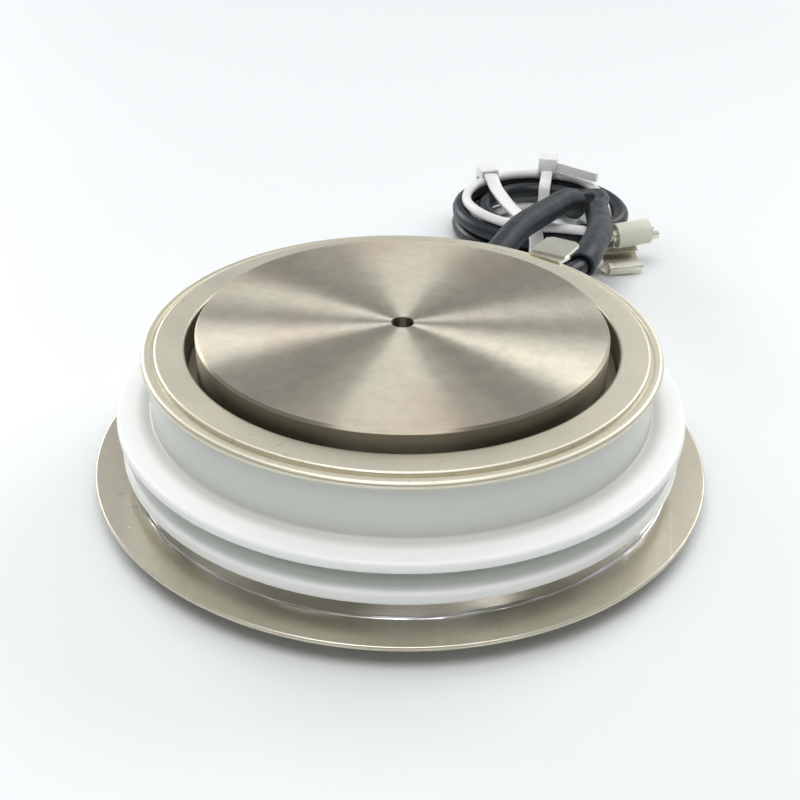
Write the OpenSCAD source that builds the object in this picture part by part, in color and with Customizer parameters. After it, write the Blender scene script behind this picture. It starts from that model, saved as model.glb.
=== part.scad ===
// Gate turn-off thyristor in a ceramic press-pack housing, with its gate and auxiliary cathode leads.
// Millimetres. +Z is up, and the origin is the centre of the lower (anode) contact face.
// Every round piece of the housing turns about the Z axis. The leads leave towards +Y.

/* [Overall] */
// Height between the two contact faces
height = 26; // [25:0.5:32]
// Diameter of both contact faces
pole_d = 63; // [58:0.5:64]
// Edge chamfer of the contact faces
pole_chamfer = 0.4; // [0.2:0.1:0.8]
// Diameter of the centring hole in each contact face
centring_d = 3.5; // [2:0.1:5]
// Depth of the centring holes
centring_depth = 3; // [2:0.1:5]

/* [Ceramic housing] */
// Gap between the pole pieces and the bore of the ceramic
bore_gap = 4; // [3.2:0.1:5]
// Thickness of the plain ceramic wall
wall_t = 3.3; // [2.5:0.1:4]
// How far the upper rib stands out from the plain wall
upper_rib_w = 5.3; // [3:0.1:7]
// Thickness of the upper rib
upper_rib_t = 1.8; // [1.2:0.1:2.2]
// How far the lower rib stands out from the plain wall
lower_rib_w = 4.85; // [3.5:0.05:7]
// Thickness of the lower rib
lower_rib_t = 2.15; // [1.5:0.05:3]
// How far the bottom of the groove between the ribs stands out from the plain wall
groove_rise = 0.9; // [0:0.1:1.6]
// Width of the groove between the ribs
groove_w = 3.35; // [2:0.05:3.8]
// Radius of the rounded edges of the ribs
rib_round = 0.6; // [0.2:0.1:0.8]

/* [Cathode side] */
// Width of the ring-shaped gap round the upper contact face
moat_w = 1.6; // [1:0.1:2.2]
// Depth of the gap below the flat ring
moat_depth = 4.3; // [3:0.1:4.3]
// Gap between the flat ring and the rim's bead
ring_gap = 0.5; // [0.2:0.1:0.8]
// Thickness of the flat ring's sheet
ring_t = 0.7; // [0.4:0.1:0.9]
// How far the upper contact face stands above the flat ring
face_step = 2.1; // [1:0.1:3]
// How far the rim that is brazed to the ceramic stands out from the plain wall
rim_w = 0.9; // [0.4:0.1:1.6]
// Thickness of the rim under the flat ring
rim_t = 0.8; // [0.5:0.1:1.2]
// Width of the rounded bead along the rim's edge
bead_w = 1.4; // [1:0.1:1.4]
// How far the bead stands above the rim
bead_h = 0.3; // [0.1:0.1:0.5]

/* [Anode side] */
// Height of the flange's underside above the lower contact face
flange_z = 2.9; // [1.5:0.1:3.5]
// Thickness of each of the two flange sheets
sheet_t = 0.5; // [0.3:0.05:0.6]
// How far the flange stands out beyond the collar
flange_w = 5.8; // [4:0.1:9]
// How far the upper flange sheet stands out beyond the lower one, at the weld
weld_lip = 0.3; // [0.1:0.1:0.6]
// How far the collar lies inside the lower rib's edge
collar_inset = 1.15; // [0.8:0.05:2.5]
// Height of the collar above the upper flange sheet
collar_h = 2.9; // [2:0.1:3.2]

/* [Contact stack] */
// How far the silicon wafer's edge lies inside the pole pieces' edge
wafer_inset = 1.5; // [0.8:0.1:5]
// Thickness of the silicon wafer
wafer_t = 0.6; // [0.4:0.05:1]
// Thickness of the molybdenum disc under the wafer
anode_disc_t = 2; // [1:0.1:3]
// How far the edge of the molybdenum disc on the wafer lies inside the wafer's edge
cathode_disc_inset = 1; // [0.7:0.1:6]
// Thickness of the molybdenum disc on the wafer
cathode_disc_t = 1.5; // [1:0.1:2.4]
// Thickness of the upper pole piece
cathode_pole_t = 9.9; // [9.5:0.1:11]
// Height of the rubber ring that centres the wafer
centring_ring_h = 4; // [2.5:0.1:4.5]
// Running clearance between pieces that are slipped together
slip = 0.1; // [0.05:0.05:0.2]

/* [Gate contact] */
// Diameter of the pin that presses on the middle of the wafer
gate_pin_d = 5; // [3:0.5:6]
// Diameter of the gate contact's head
gate_head_d = 8; // [7:0.5:9]
// Thickness of the gate contact's head
gate_head_t = 1.8; // [1.4:0.1:2.4]
// Wall thickness of the insulating cup round the gate contact
cup_wall = 0.8; // [0.5:0.1:1.2]
// Thickness of the sheet of the disc springs
spring_t = 0.4; // [0.2:0.05:0.5]
// Height of each disc spring's cone
spring_cone = 0.4; // [0.2:0.05:0.5]
// Diameter of the internal gate wire
wire_d = 1.2; // [0.8:0.1:1.4]
// Width of the slot for the gate wire in the upper pole piece
wire_slot_w = 2.4; // [2:0.1:4]
// Outer diameter of the metal tube through the ceramic
gate_tube_d = 2.8; // [2.2:0.1:2.8]

/* [Cathode tab] */
// Width of the flat tab
tab_w = 6.3; // [4.8:0.1:8]
// Thickness of the tab's sheet
tab_t = 0.6; // [0.4:0.1:0.9]
// Length of the tab outside the rim
tab_reach = 7; // [5:0.5:10]
// Length of the crimp barrel under the tab
barrel_l = 5; // [3.5:0.5:7]

/* [Leads] */
// Diameter of the white gate lead
gate_lead_d = 2.1; // [1.6:0.1:2.2]
// Diameter of the black cathode lead
cathode_lead_d = 3.4; // [2.8:0.1:3.4]
// Outer diameter of the gate lead's sleeve
gate_sleeve_d = 5.2; // [4:0.1:5.4]
// Outer diameter of the cathode lead's sleeve
cathode_sleeve_d = 5.3; // [5:0.1:5.4]
// Outer radius of the coil of both leads
coil_r = 20; // [18:0.5:20]
// Width of the coil's ring, measured radially
coil_w = 9.6; // [7:0.2:9.6]
// Height of the coil
coil_h = 7; // [5:0.5:7]
// Width of the strap across the coil
wide_tie_w = 3; // [2:0.2:3]
// Width of the strap round the coil's ring
narrow_tie_w = 2.6; // [2:0.2:3]
// Thickness of both straps
tie_t = 1; // [0.6:0.1:1]

/* [Hidden] */
$fn = 96;

// Radii of the housing
pole_r = pole_d / 2;
bore_r = pole_r + bore_gap;
wall_r = bore_r + wall_t;
upper_rib_r = wall_r + upper_rib_w;
lower_rib_r = wall_r + lower_rib_w;
groove_r = wall_r + groove_rise;
rim_r = wall_r + rim_w;
ring_r = rim_r - bead_w - ring_gap;
collar_r = lower_rib_r - collar_inset;
flange_r = collar_r + flange_w;
lower_sheet_r = flange_r - weld_lip;
wafer_r = pole_r - wafer_inset;
cathode_disc_r = wafer_r - cathode_disc_inset;

// Levels of the housing, from the bottom up
lower_sheet_top = flange_z + sheet_t;
flange_top = lower_sheet_top + sheet_t;
ceramic_z = flange_top + collar_h;
lower_rib_top = ceramic_z + lower_rib_t;
upper_rib_z = lower_rib_top + groove_w;
upper_rib_top = upper_rib_z + upper_rib_t;
ring_top = height - face_step;
rim_top = ring_top - ring_t;
ceramic_top = rim_top - rim_t;
bead_top = rim_top + bead_h;
moat_floor = ring_top - moat_depth;

// Levels of the contact stack, from the top down
cathode_pole_z = height - cathode_pole_t;
wafer_top = cathode_pole_z - cathode_disc_t;
wafer_z = wafer_top - wafer_t;
anode_pole_top = wafer_z - anode_disc_t;

// The gate contact sits in a pocket of the upper pole piece
gate_pocket_depth = 5.2;
gate_head_z = cathode_pole_z + 0.8;
gate_z = gate_head_z + gate_head_t / 2;
gate_head_r = gate_head_d / 2;
cup_bore_r = gate_head_r + slip;
cup_r = cup_bore_r + cup_wall;
pocket_r = cup_r + slip;
cup_top = cathode_pole_z + gate_pocket_depth;
cup_roof = cup_top - cup_wall;
spring_stack = cup_roof - gate_head_z - gate_head_t;
spring_count = max(1, floor(spring_stack / (spring_t + spring_cone)));
pin_hole_r = gate_pin_d / 2 + 1;
wire_r = wire_d / 2;
wire_slot_top = gate_z + wire_slot_w / 2;

// The leads' points were chosen by hand, in millimetres, for a rim of this radius,
// and move out along this heading when the rim does
route_rim_r = 39.7;
route_heading = 58;
route_shift = (rim_r - route_rim_r) * [cos(route_heading), sin(route_heading), 0];
function shifted(route) = [for (p = route) p + route_shift];

gate_route = shifted([
    [17, 40, gate_z], [19, 44.7, gate_z], [21, 49.4, gate_z], [22.8, 54, 17.6], [24.7, 58.6, 17.1],
    [26.7, 63, 16.4], [28.8, 67.4, 15.6], [31, 71.8, 14.8], [33.2, 76.2, 14], [35.4, 80.4, 13.4],
    [37.6, 84, 12.8], [39.4, 86.9, 11.5], [40.3, 89, 9.8], [40.4, 90.5, 8.2], [40.8, 92.2, 6.5],
    [41.5, 93.9, 5.1], [42.1, 95.6, 4.1], [42.2, 97.2, 3.6]
]);
gate_sleeve_points = 14;
gate_angle = atan2(gate_route[0][1], gate_route[0][0]);
gate_tail = shifted([
    [38, 73.3, 6.2], [41, 73.9, 6.8], [44, 75.2, 7.3], [46.6, 76.1, 7.6], [49, 76.7, 7.8]
]);
lead_z = upper_rib_top + 0.45 * (ceramic_top - upper_rib_top);
cathode_route = shifted([
    [28, 31.8, lead_z], [31, 35.2, lead_z], [33.6, 38.6, lead_z], [35.3, 42.4, lead_z],
    [36.7, 46.7, 17.4], [38.1, 51.2, 16.8], [39.5, 55.8, 16], [40.8, 60.5, 14.9], [41.8, 65.2, 13.8],
    [42.6, 69.9, 12.8], [43.3, 74.4, 11.9], [43.8, 78.6, 11.2], [44.2, 82.4, 10.8], [45, 86, 10.2],
    [46.1, 89.2, 9.8], [46.9, 92.2, 9.75]
]);
cathode_sleeve_start = 2;
cathode_sleeve_end = 12;
tab_angle = atan2(cathode_route[0][1], cathode_route[0][0]);
cathode_tail = shifted([[40, 73.3, 3.1], [42, 73.8, 3.3], [44, 74.1, 3.4]]);
lead_gap = 0.05;
lead_sides = 8;
sleeve_sides = 12;
gate_lead_r = gate_lead_d / 2;
cathode_lead_r = cathode_lead_d / 2;

// The coil lies on the strap across it
coil_x = 33.5 + route_shift[0];
coil_y = 94.5 + route_shift[1];
coil_z = tie_t;
coil_top = coil_z + coil_h;
coil_round = 1.5;

// The strap across the coil and the strap round its ring
wide_tie_angle = 103;
wide_tie_offset = -7.8;
narrow_tie_angle = 78;
tie_head = [4.6, 4.2, 4];

// The terminals
receptacle_w = 6.4;
receptacle_l = 7.3;
receptacle_h = 1.95;
terminal_t = 0.4;
cathode_barrel_r = 2.15;
gate_barrel_r = 1.45;
cathode_terminal_roll = 25;
gate_receptacle_w = 3.6;
gate_receptacle_l = 6;
gate_receptacle_h = 1.4;
gate_terminal_sleeve_r = 2.7;
gate_terminal_sleeve_l = 7.4;

function unit(v) = v / norm(v);

// A corner [x, y, r] between two others, as the points of an arc of radius r
function corner(before, here, after, steps) =
    let (
        p = [here[0], here[1]],
        r = here[2],
        u = unit([before[0], before[1]] - p),
        v = unit([after[0], after[1]] - p),
        half = acos(u * v) / 2,
        centre = p + unit(u + v) * r / sin(half),
        start = p + u * r / tan(half) - centre,
        end = p + v * r / tan(half) - centre,
        from = atan2(start[1], start[0]),
        turn = atan2(start[0] * end[1] - start[1] * end[0], start * end)
    )
    [for (i = [0 : steps]) centre + r * [cos(from + turn * i / steps), sin(from + turn * i / steps)]];

// An outline of corners [x, y, r], where r is 0 for a sharp corner
function outline(corners, steps = 5) =
    let (n = len(corners))
    [for (i = [0 : n - 1])
        each corners[i][2] == 0
            ? [[corners[i][0], corners[i][1]]]
            : corner(corners[(i + n - 1) % n], corners[i], corners[(i + 1) % n], steps)];

module turned(corners) {
    rotate_extrude()
        polygon(outline(corners));
}

module tube(outer, bore, length) {
    difference() {
        cylinder(r = outer, h = length, $fn = 32);
        translate([0, 0, -1])
            cylinder(r = bore, h = length + 2, $fn = 32);
    }
}

// The way a route runs at point i, and a ring of points round it there
function heading(route, i) = unit(route[min(i + 1, len(route) - 1)] - route[max(i - 1, 0)]);
function ring(route, i, r, sides) =
    let (
        ahead = heading(route, i),
        side = unit(cross([0, 0, 1], ahead)),
        up = cross(ahead, side)
    )
    [for (k = [0 : sides - 1]) route[i] + r * (side * cos(360 * k / sides) + up * sin(360 * k / sides))];

// The side faces between the rings of a swept tube
function skin(rings, sides, first) =
    [for (i = [0 : rings - 2], k = [0 : sides - 1])
        let (a = first + i * sides, next = (k + 1) % sides)
        [a + k, a + sides + k, a + sides + next, a + next]];
function reversed(faces) = [for (f = faces) [for (i = [len(f) - 1 : -1 : 0]) f[i]]];

module swept(route, r, sides) {
    n = len(route);
    polyhedron(
        points = [for (i = [0 : n - 1]) each ring(route, i, r, sides)],
        faces = concat(
            skin(n, sides, 0),
            [[for (k = [0 : sides - 1]) k]],
            [[for (k = [sides - 1 : -1 : 0]) (n - 1) * sides + k]]
        ),
        convexity = 6
    );
}

module swept_tube(route, r, bore, sides) {
    n = len(route);
    inner = n * sides;
    last = (n - 1) * sides;
    polyhedron(
        points = concat(
            [for (i = [0 : n - 1]) each ring(route, i, r, sides)],
            [for (i = [0 : n - 1]) each ring(route, i, bore, sides)]
        ),
        faces = concat(
            skin(n, sides, 0),
            reversed(skin(n, sides, inner)),
            [for (k = [0 : sides - 1])
                let (next = (k + 1) % sides)
                [k, next, inner + next, inner + k]],
            [for (k = [0 : sides - 1])
                let (next = (k + 1) % sides)
                [last + next, last + k, inner + last + k, inner + last + next]]
        ),
        convexity = 8
    );
}

function first_points(route, n) = [for (i = [0 : n - 1]) route[i]];

// Turned copper, nickel plated, with the pocket and slot of the gate contact in its inner face
module cathode_pole_piece() {
    color([0.79, 0.75, 0.68])
    difference() {
        turned([
            [0, cathode_pole_z, 0], [pole_r, cathode_pole_z, 0],
            [pole_r, height - pole_chamfer, 0], [pole_r - pole_chamfer, height, 0], [0, height, 0]
        ]);
        translate([0, 0, height - centring_depth])
            cylinder(d = centring_d, h = centring_depth + 1, $fn = 48);
        translate([0, 0, cathode_pole_z - 1])
            cylinder(r = pocket_r, h = gate_pocket_depth + 1);
        rotate([0, 0, gate_angle])
            translate([0, -wire_slot_w / 2, cathode_pole_z - 1])
                cube([pole_r + 1, wire_slot_w, wire_slot_top - cathode_pole_z + 1]);
    }
}

module anode_pole_piece() {
    color([0.79, 0.75, 0.68])
    difference() {
        turned([
            [0, 0, 0], [pole_r - pole_chamfer, 0, 0], [pole_r, pole_chamfer, 0],
            [pole_r, anode_pole_top, 0], [0, anode_pole_top, 0]
        ]);
        translate([0, 0, -1])
            cylinder(d = centring_d, h = centring_depth + 1, $fn = 48);
    }
}

// Alumina ring with two ribs that lengthen the creepage path, and a hole for the gate tube
module ceramic_housing() {
    color([0.95, 0.96, 0.93])
    difference() {
        turned([
            [bore_r, ceramic_z, 0], [lower_rib_r, ceramic_z, rib_round],
            [lower_rib_r, lower_rib_top, rib_round], [groove_r, lower_rib_top, 0.5],
            [groove_r, upper_rib_z, 0.5], [upper_rib_r, upper_rib_z, rib_round],
            [upper_rib_r, upper_rib_top, rib_round], [wall_r, upper_rib_top, 0.4],
            [wall_r, ceramic_top, 0], [bore_r, ceramic_top, 0]
        ]);
        rotate([0, 0, gate_angle])
            translate([bore_r - 2, 0, gate_z])
                rotate([0, 90, 0])
                    cylinder(d = gate_tube_d, h = upper_rib_r - bore_r + 3, $fn = 32);
    }
}

// Drawn sheet: a flat ring, a wall down into the gap and a foot brazed to the pole piece
module cathode_diaphragm() {
    wall_in = pole_r + moat_w;
    wall_out = wall_in + ring_t;
    color([0.80, 0.76, 0.69])
    turned([
        [pole_r, moat_floor - ring_t, 0], [wall_out, moat_floor - ring_t, ring_t],
        [wall_out, ring_top - ring_t, 0.2], [ring_r, ring_top - ring_t, 0],
        [ring_r, ring_top, ring_t * 0.6], [wall_in, ring_top, 0.5],
        [wall_in, moat_floor, 0.4], [pole_r, moat_floor, 0]
    ]);
}

// Ring brazed to the top of the ceramic, with a rounded bead along its edge
module cathode_rim_ring() {
    color([0.80, 0.76, 0.69])
    turned([
        [bore_r, ceramic_top, 0], [rim_r, ceramic_top, 0.4], [rim_r, bead_top, bead_w * 0.45],
        [rim_r - bead_w, bead_top, 0.2], [rim_r - bead_w, rim_top, 0], [bore_r, rim_top, 0]
    ]);
}

// Upper flange sheet, drawn up into the collar that is brazed to the ceramic
module anode_collar_flange() {
    collar_in = collar_r - sheet_t;
    color([0.72, 0.70, 0.66])
    turned([
        [collar_in, lower_sheet_top, 0.8], [flange_r, lower_sheet_top, 0],
        [flange_r, flange_top, sheet_t * 0.5], [collar_r, flange_top, 0.3],
        [collar_r, ceramic_z, 0], [collar_in, ceramic_z, 0]
    ]);
}

// Lower flange sheet, brazed to the lower pole piece and welded to the upper sheet at its edge
module anode_diaphragm() {
    color([0.72, 0.70, 0.66])
    turned([
        [pole_r, flange_z, 0], [lower_sheet_r, flange_z, sheet_t * 0.5],
        [lower_sheet_r, lower_sheet_top, 0], [pole_r, lower_sheet_top, 0]
    ]);
}

module silicon_wafer() {
    color([0.35, 0.37, 0.42])
    turned([
        [0, wafer_z, 0], [wafer_r, wafer_z, 0],
        [wafer_r - wafer_t, wafer_top, 0], [0, wafer_top, 0]
    ]);
}

module cathode_molybdenum_disc() {
    color([0.62, 0.62, 0.63])
    translate([0, 0, wafer_top])
    difference() {
        cylinder(r = cathode_disc_r, h = cathode_disc_t);
        translate([0, 0, -1])
            cylinder(r = pin_hole_r, h = cathode_disc_t + 2, $fn = 48);
    }
}

module anode_molybdenum_disc() {
    color([0.62, 0.62, 0.63])
    translate([0, 0, anode_pole_top])
        cylinder(r = wafer_r, h = anode_disc_t);
}

// Rubber ring round the wafer, seated on a step of the stack inside the ceramic
module wafer_centring_ring() {
    inner = pole_r + slip;
    lip = wafer_r + slip;
    low = anode_pole_top;
    color([0.55, 0.22, 0.16])
    turned([
        [lip, low, 0], [inner, low, 0], [inner, low - 1.2, 0], [bore_r - slip, low - 1.2, 0.5],
        [bore_r - slip, low - 1.2 + centring_ring_h, 0.5], [lip, low - 1.2 + centring_ring_h, 0]
    ]);
}

// Pin with a head, pressed on the middle of the wafer by the disc springs
module gate_contact() {
    color([0.85, 0.72, 0.42])
    turned([
        [0, wafer_top, 0], [gate_pin_d / 2, wafer_top, 0], [gate_pin_d / 2, gate_head_z, 0],
        [gate_head_r, gate_head_z, 0], [gate_head_r, gate_head_z + gate_head_t, 0.2],
        [0, gate_head_z + gate_head_t, 0]
    ]);
}

// Insulating cup that keeps the gate contact clear of the pole piece, open at the wire's side
module gate_contact_cup() {
    color([0.93, 0.93, 0.90])
    difference() {
        turned([
            [cup_bore_r, cathode_pole_z, 0], [cup_r, cathode_pole_z, 0], [cup_r, cup_top, 0.3],
            [0, cup_top, 0], [0, cup_roof, 0], [cup_bore_r, cup_roof, 0]
        ]);
        rotate([0, 0, gate_angle])
            translate([0, -wire_r - slip, cathode_pole_z - 1])
                cube([pocket_r + 1, wire_d + 2 * slip, gate_z + wire_r + slip - cathode_pole_z + 1]);
    }
}

// Disc springs stacked head to head between the gate contact and the cup's roof
module gate_disc_springs() {
    outer = gate_head_r - 0.4;
    inner = 1.6;
    pitch = spring_stack / spring_count;
    rise = pitch - spring_t;
    color([0.60, 0.60, 0.58])
    for (i = [0 : spring_count - 1]) {
        low = gate_head_z + gate_head_t + i * pitch;
        lift_in = i % 2 == 0 ? rise : 0;
        lift_out = rise - lift_in;
        turned([
            [inner, low + lift_in, 0], [outer, low + lift_out, 0],
            [outer, low + lift_out + spring_t, 0], [inner, low + lift_in + spring_t, 0]
        ]);
    }
}

module gate_wire() {
    tip = norm([gate_route[0][0], gate_route[0][1]]);
    start = gate_head_r + lead_gap;
    color([0.85, 0.85, 0.85])
    rotate([0, 0, gate_angle])
        translate([start, 0, gate_z])
            rotate([0, 90, 0])
                cylinder(d = wire_d, h = tip - start - lead_gap, $fn = 24);
}

// Metal tube brazed into the ceramic, which the gate wire leaves through
module gate_tube() {
    tip = norm([gate_route[0][0], gate_route[0][1]]);
    start = bore_r - 1;
    color([0.75, 0.73, 0.70])
    rotate([0, 0, gate_angle])
        translate([start, 0, gate_z])
            rotate([0, 90, 0])
                tube(gate_tube_d / 2, wire_r + slip / 2, tip - start - lead_gap);
}

// Folded strip: a foot on the bead, a flat blade, and a leg down to the crimp barrel
module cathode_tab() {
    foot_x = rim_r - bead_w;
    leg_x = rim_r + 1.3;
    leg_w = 3.6;
    barrel_r = cathode_lead_r + slip + 0.2;
    leg_z = lead_z - barrel_r;
    blade_yaw = 10;
    step = 0.35;
    color([0.84, 0.80, 0.70])
    rotate([0, 0, tab_angle])
    difference() {
        union() {
            translate([foot_x, -tab_w / 2, bead_top])
                cube([leg_x + tab_t - foot_x, tab_w, tab_t]);
            translate([rim_r - 0.2, 0, bead_top + step])
                rotate([0, 0, blade_yaw])
                    linear_extrude(tab_t)
                        polygon(outline([
                            [0, -tab_w / 2, 0], [tab_reach - 0.8, -tab_w / 2, 0.3],
                            [tab_reach, -tab_w / 2 + 1, 0.3], [tab_reach, tab_w / 2 - 1, 0.3],
                            [tab_reach - 0.8, tab_w / 2, 0.3], [0, tab_w / 2, 0]
                        ]));
            translate([leg_x, -leg_w / 2, leg_z])
                cube([tab_t, leg_w, bead_top - leg_z + 0.1]);
            translate([leg_x, 0, lead_z])
                rotate([0, 90, 0])
                    cylinder(r = barrel_r, h = barrel_l, $fn = 32);
        }
        translate([leg_x + tab_t, 0, lead_z])
            rotate([0, 90, 0])
                cylinder(r = cathode_lead_r + slip, h = barrel_l, $fn = 32);
    }
}

module gate_sleeve() {
    color([0.12, 0.12, 0.13])
        swept_tube(
            first_points(gate_route, gate_sleeve_points),
            gate_sleeve_d / 2, gate_lead_r + 0.2, sleeve_sides
        );
}

module cathode_sleeve() {
    color([0.12, 0.12, 0.13])
        swept_tube(
            [for (i = [cathode_sleeve_start : cathode_sleeve_end]) cathode_route[i]],
            cathode_sleeve_d / 2, cathode_lead_r + 0.2, sleeve_sides
        );
}

// White gate lead: from the gate tube into the coil, and from the coil to its terminal
module gate_lead() {
    color([0.92, 0.92, 0.90]) {
        swept(gate_route, gate_lead_r, lead_sides);
        swept(gate_tail, gate_lead_r, lead_sides);
    }
}

// Black cathode lead: from the crimp barrel onto the coil, and from the coil to its terminal
module cathode_lead() {
    color([0.10, 0.10, 0.11]) {
        swept(cathode_route, cathode_lead_r, lead_sides);
        swept(cathode_tail, cathode_lead_r, lead_sides);
    }
}

// The turns of both leads, as one ring
module lead_coil() {
    inner = coil_r - coil_w;
    color([0.14, 0.14, 0.15])
    translate([coil_x, coil_y, 0])
        turned([
            [inner, coil_z, coil_round], [coil_r, coil_z, coil_round],
            [coil_r, coil_top, coil_round], [inner, coil_top, coil_round]
        ]);
}

// A crimp barrel and a flat receptacle with rolled sides, along +X from the lead's end
module receptacle(barrel_r, bore, barrel_back, floor_z, width, length, rise) {
    neck = 1.8;
    lip = width * 0.28;
    translate([-barrel_back, 0, 0])
        rotate([0, 90, 0])
            tube(barrel_r, bore, barrel_back + 0.3);
    translate([0, 0, floor_z])
        linear_extrude(terminal_t)
            polygon([
                [0, -barrel_r * 0.7], [neck, -width / 2], [neck + length, -width / 2],
                [neck + length, width / 2], [neck, width / 2], [0, barrel_r * 0.7]
            ]);
    translate([0, 0, floor_z])
        for (side = [-1, 1])
            scale_side(side)
                translate([neck, 0, 0])
                    rotate([90, 0, 90])
                        linear_extrude(length)
                            polygon(outline([
                                [width / 2, 0, 0.3], [width / 2, rise, 0.5],
                                [width / 2 - lip, rise, 0], [width / 2 - lip, rise - terminal_t, 0],
                                [width / 2 - terminal_t, rise - terminal_t, 0.3],
                                [width / 2 - terminal_t, 0, 0]
                            ]));
}

module scale_side(side) {
    if (side > 0)
        children();
    else
        mirror([0, 1, 0])
            children();
}

// Moves children to a lead's end, turned the way its last stretch runs
module at_end(route) {
    n = len(route);
    way = unit(route[n - 1] - route[n - 2]);
    translate(route[n - 1])
        rotate([0, -asin(way[2]), atan2(way[1], way[0])])
            children();
}

module cathode_terminal() {
    color([0.80, 0.78, 0.72])
    at_end(cathode_tail)
        rotate([cathode_terminal_roll, 0, 0])
            receptacle(
                cathode_barrel_r, cathode_lead_r + slip, 2.4, -cathode_barrel_r + 0.05,
                receptacle_w, receptacle_l, receptacle_h
            );
}

module gate_terminal() {
    color([0.80, 0.78, 0.72])
    at_end(gate_tail)
        receptacle(
            gate_barrel_r, gate_lead_r + slip, 2.4, -gate_barrel_r + 0.05,
            gate_receptacle_w, gate_receptacle_l, gate_receptacle_h
        );
}

// Clear insulating sleeve over the gate terminal
module gate_terminal_sleeve() {
    color([0.90, 0.88, 0.70, 0.8])
    at_end(gate_tail)
        translate([-1.6, 0, 0])
            rotate([0, 90, 0])
                tube(gate_terminal_sleeve_r, gate_terminal_sleeve_r - 0.4, gate_terminal_sleeve_l);
}

// A closed strap in the X-Z plane, from x0 to x1 and from z0 to z1 inside, with rounded corners
module strap(x0, x1, z0, z1, width, round_in) {
    rotate([90, 0, 0])
        translate([0, 0, -width / 2])
            linear_extrude(width)
                difference() {
                    polygon(outline([
                        [x0 - tie_t, z0 - tie_t, round_in], [x1 + tie_t, z0 - tie_t, round_in],
                        [x1 + tie_t, z1 + tie_t, round_in], [x0 - tie_t, z1 + tie_t, round_in]
                    ]));
                    polygon(outline([[x0, z0, 0.4], [x1, z0, 0.4], [x1, z1, 0.4], [x0, z1, 0.4]]));
                }
}

// Nylon tie pulled tight across the whole coil
module wide_tie() {
    near = abs(wide_tie_offset) - wide_tie_w / 2;
    reach = sqrt(coil_r * coil_r - near * near) + lead_gap;
    color([0.93, 0.93, 0.91])
    translate([coil_x, coil_y, 0])
        rotate([0, 0, wide_tie_angle])
            translate([0, -wide_tie_offset, 0]) {
                strap(-reach, reach, coil_z, coil_top, wide_tie_w, 0.9);
                translate([reach - tie_head[0] - 1, -tie_head[1] / 2, coil_top + tie_t / 2])
                    cube([tie_head[0], tie_head[1], tie_head[2] - 1]);
            }
}

// Nylon tie round the coil's ring, with its head on top and its cut tail along the coil
module narrow_tie() {
    inner = sqrt(pow(coil_r - coil_w, 2) - pow(narrow_tie_w / 2, 2)) - lead_gap;
    outer = coil_r + lead_gap;
    tail_l = 12;
    tail_turn = -30;
    head_x = outer - tie_head[0] - 1;
    color([0.93, 0.93, 0.91])
    translate([coil_x, coil_y, 0])
        rotate([0, 0, narrow_tie_angle]) {
            strap(inner, outer, coil_z, coil_top, narrow_tie_w, 0.9);
            translate([head_x, -tie_head[1] / 2, coil_top + tie_t / 2])
                cube(tie_head);
            translate([head_x + 1.5, -tie_head[1] / 2 + 1, coil_top + tie_t + 0.6])
                rotate([0, 0, tail_turn])
                    translate([0, -tail_l, 0])
                        cube([tie_t, tail_l, narrow_tie_w - 0.6]);
        }
}

cathode_pole_piece();
anode_pole_piece();
ceramic_housing();
cathode_diaphragm();
cathode_rim_ring();
anode_collar_flange();
anode_diaphragm();
silicon_wafer();
cathode_molybdenum_disc();
anode_molybdenum_disc();
wafer_centring_ring();
gate_contact();
gate_contact_cup();
gate_disc_springs();
gate_wire();
gate_tube();
cathode_tab();
gate_sleeve();
cathode_sleeve();
gate_lead();
cathode_lead();
lead_coil();
gate_terminal();
gate_terminal_sleeve();
cathode_terminal();
wide_tie();
narrow_tie();
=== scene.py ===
"""Looks of a gate turn-off thyristor in a ceramic press-pack housing, with its coiled leads."""

import math

import bpy
from mathutils import Matrix, Vector, noise


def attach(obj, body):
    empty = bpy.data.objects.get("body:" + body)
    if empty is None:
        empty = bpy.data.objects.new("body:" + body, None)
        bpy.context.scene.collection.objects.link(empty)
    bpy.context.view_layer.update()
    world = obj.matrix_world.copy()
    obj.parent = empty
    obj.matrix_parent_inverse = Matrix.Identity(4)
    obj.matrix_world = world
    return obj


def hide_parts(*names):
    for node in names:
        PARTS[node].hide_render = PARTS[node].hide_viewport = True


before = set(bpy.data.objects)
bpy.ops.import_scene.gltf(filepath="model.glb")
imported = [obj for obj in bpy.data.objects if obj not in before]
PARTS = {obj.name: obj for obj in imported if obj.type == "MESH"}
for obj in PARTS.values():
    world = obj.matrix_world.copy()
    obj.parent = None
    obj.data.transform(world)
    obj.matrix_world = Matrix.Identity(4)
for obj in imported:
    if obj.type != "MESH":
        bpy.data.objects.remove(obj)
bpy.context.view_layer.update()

MM = 0.001

# The photograph's camera, fitted to the housing's circles, in millimetres and degrees
CAMERA_AT = (-4.72, -167.37, 112.04)
CAMERA_AIM = (-0.25, -1.42, 13.0)
CAMERA_ROLL = 0.947
CAMERA_LENS = 55.33
SENSOR_W = 36.0

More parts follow.
